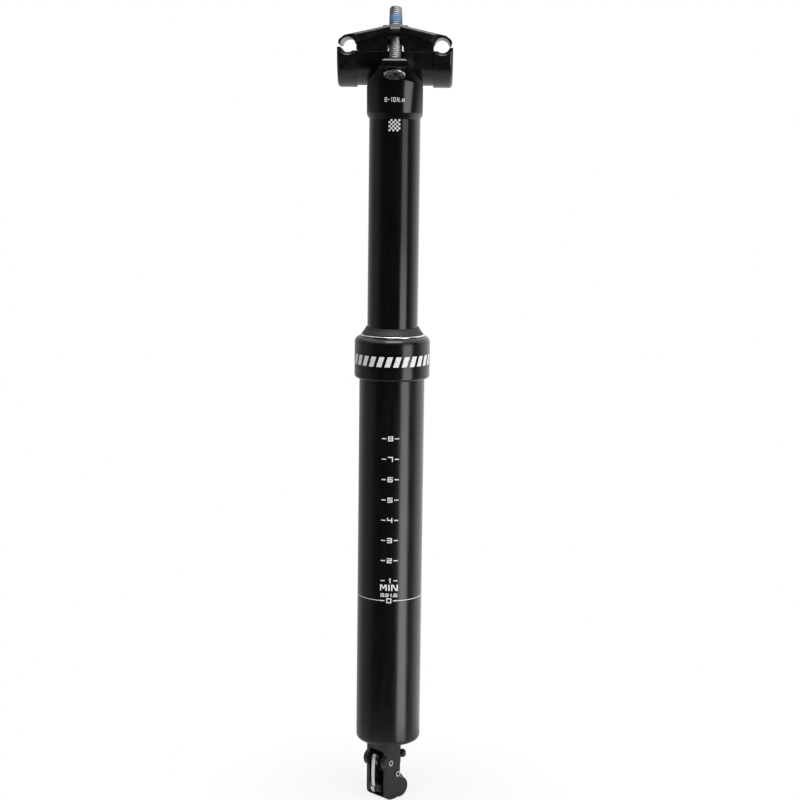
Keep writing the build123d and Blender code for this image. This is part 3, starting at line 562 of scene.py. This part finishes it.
def softbox(name, azimuth, height, distance, width, tall, radiance):
    """A flat area lamp facing the post, its power worked out from its radiance and its area."""
    lamp = bpy.data.lights.new(name, "AREA")
    lamp.shape = "RECTANGLE"
    lamp.size = width
    lamp.size_y = tall
    lamp.energy = radiance * pi * width * tall
    light = bpy.data.objects.new(name, lamp)
    angle = radians(azimuth)
    spot = Vector((distance * sin(angle), -distance * cos(angle), height))
    light.matrix_world = Matrix.Translation(spot) @ spot.to_track_quat("Z", "Y").to_matrix().to_4x4()
    bpy.context.scene.collection.objects.link(light)


def room_radiance(tree):
    """What the post's gloss mirrors: dark in front, pale at the left, white behind and above."""
    place = tree.nodes.new("ShaderNodeTexCoord")
    split = tree.nodes.new("ShaderNodeSeparateXYZ")
    tree.links.new(place.outputs["Generated"], split.inputs[0])
    front = math_node(tree, "MULTIPLY", split.outputs["Y"], -1.0)
    turn = math_node(tree, "ARCTAN2", split.outputs["X"], front)
    share = math_node(tree, "MULTIPLY", turn, 0.5 / pi)
    share = math_node(tree, "ADD", share, 0.5)
    ramp = tree.nodes.new("ShaderNodeValToRGB")
    tree.links.new(share, ramp.inputs["Fac"])
    stops = ramp.color_ramp.elements
    while len(stops) < len(room_ramp):
        stops.new(0.5)
    for stop, (azimuth, grey) in zip(stops, room_ramp):
        stop.position = azimuth / 360 + 0.5
        stop.color = (grey, grey, grey, 1)
    above = tree.nodes.new("ShaderNodeMapRange")
    above.interpolation_type = "SMOOTHSTEP"
    above.inputs["From Min"].default_value = ceiling_start
    above.inputs["From Max"].default_value = ceiling_full
    above.inputs["To Max"].default_value = ceiling_share
    tree.links.new(split.outputs["Z"], above.inputs["Value"])
    mix = tree.nodes.new("ShaderNodeMix")
    mix.data_type = "RGBA"
    tree.links.new(above.outputs["Result"], mix.inputs["Factor"])
    tree.links.new(ramp.outputs["Color"], mix.inputs["A"])
    mix.inputs["B"].default_value = (1, 1, 1, 1)
    return mix.outputs["Result"]


def light_room():
    """White behind the post for the eye, a studio of its own for its gloss, and soft light all round."""
    world = bpy.data.worlds.new("room")
    bpy.context.scene.world = world
    world.use_nodes = True
    tree = world.node_tree
    tree.nodes.clear()
    out = tree.nodes.new("ShaderNodeOutputWorld")
    soft = tree.nodes.new("ShaderNodeBackground")
    soft.inputs["Color"].default_value = (1, 1, 1, 1)
    soft.inputs["Strength"].default_value = soft_strength
    mirror = tree.nodes.new("ShaderNodeBackground")
    mirror.inputs["Strength"].default_value = mirror_strength
    white = tree.nodes.new("ShaderNodeBackground")
    white.inputs["Color"].default_value = (1, 1, 1, 1)
    path = tree.nodes.new("ShaderNodeLightPath")
    sharp = math_node(tree, "MAXIMUM", path.outputs["Is Glossy Ray"], path.outputs["Is Transmission Ray"])
    first = tree.nodes.new("ShaderNodeMixShader")
    second = tree.nodes.new("ShaderNodeMixShader")
    link = tree.links.new
    link(room_radiance(tree), mirror.inputs["Color"])
    link(sharp, first.inputs[0])
    link(soft.outputs[0], first.inputs[1])
    link(mirror.outputs[0], first.inputs[2])
    link(path.outputs["Is Camera Ray"], second.inputs[0])
    link(first.outputs[0], second.inputs[1])
    link(white.outputs[0], second.inputs[2])
    link(second.outputs[0], out.inputs["Surface"])
    for name, azimuth, height, distance, width, tall, radiance in softboxes:
        softbox(name, azimuth, height, distance, width, tall, radiance)


def lay_floor():
    """A pale round floor under the foot: it keeps the shadow in its middle and fades into white."""
    height = cad_bounds[0][2]
    angles = np.linspace(0, 2 * pi, floor_sides, endpoint=False)
    rim = [(floor_radius * cos(angle), floor_radius * sin(angle), height) for angle in angles]
    mesh = bpy.data.meshes.new("floor")
    mesh.from_pydata(rim, [], [range(len(rim))])
    floor = bpy.data.objects.new("floor", mesh)
    bpy.context.scene.collection.objects.link(floor)
    made, tree, main = shader("pale_floor")
    main.inputs["Base Color"].default_value = (floor_grey, floor_grey, floor_grey, 1)
    main.inputs["Roughness"].default_value = floor_rough
    glow = tree.nodes.new("ShaderNodeEmission")
    glow.inputs["Strength"].default_value = 1.0
    path = tree.nodes.new("ShaderNodeLightPath")
    place = tree.nodes.new("ShaderNodeTexCoord")
    reach = tree.nodes.new("ShaderNodeVectorMath")
    reach.operation = "LENGTH"
    flat = tree.nodes.new("ShaderNodeMapping")
    flat.inputs["Scale"].default_value = (1, 1, 0)
    fade = tree.nodes.new("ShaderNodeMapRange")
    fade.interpolation_type = "SMOOTHSTEP"
    fade.inputs["From Min"].default_value = floor_radius * fade_start
    fade.inputs["From Max"].default_value = floor_radius * fade_end
    fade.inputs["To Min"].default_value = fade_least
    fade.inputs["To Max"].default_value = 1.0
    mix = tree.nodes.new("ShaderNodeMixShader")
    link = tree.links.new
    link(place.outputs["Object"], flat.inputs["Vector"])
    link(flat.outputs["Vector"], reach.inputs[0])
    link(reach.outputs["Value"], fade.inputs["Value"])
    link(math_node(tree, "MULTIPLY", fade.outputs["Result"], path.outputs["Is Camera Ray"]), mix.inputs[0])
    link(main.outputs[0], mix.inputs[1])
    link(glow.outputs[0], mix.inputs[2])
    link(mix.outputs[0], tree.nodes["Material Output"].inputs["Surface"])
    mesh.materials.append(made)


print_scale()
print_head()
print_collar()
make_bolt("front")
make_bolt("rear")
aim_camera()
light_room()
lay_floor()
bpy.context.scene.view_settings.view_transform = "Standard"
